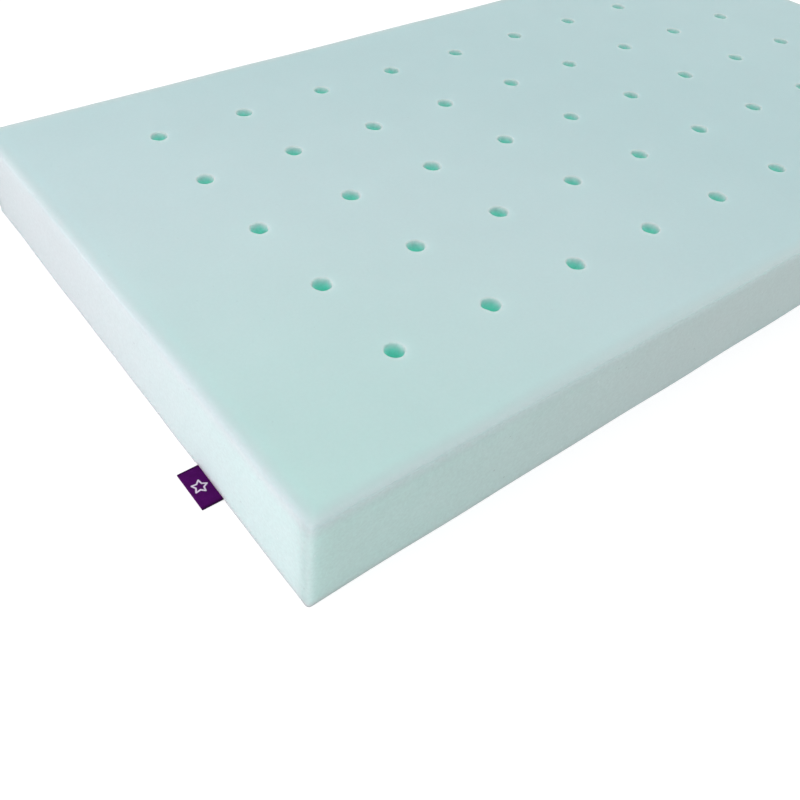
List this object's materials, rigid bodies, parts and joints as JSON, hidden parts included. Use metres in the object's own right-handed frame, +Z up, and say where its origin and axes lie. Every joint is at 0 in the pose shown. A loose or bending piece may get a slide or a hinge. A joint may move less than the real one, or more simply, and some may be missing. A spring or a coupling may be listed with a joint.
{
  "type": "crib mattress",
  "caption": "Flat slab of mint green foam for a full-size crib, pierced by a grid of round vent holes, with a folded woven tag under one short end.",
  "frame": {"origin": "floor level, in the middle of the footprint's box, tag included", "axes": "+X along the length, away from the end with the tag; +Y across the width, away from the tag's half; +Z up"},
  "size_m": [1.342, 0.7, 0.11],
  "materials": {
    "foam": "soft mint green polyurethane foam, fine open cells, matt",
    "tag_ribbon": "deep purple woven ribbon, satin weave"
  },
  "bodies": {
    "root": {"foam_core": "foam", "side_tag": "tag_ribbon"}
  },
  "joints": []
}
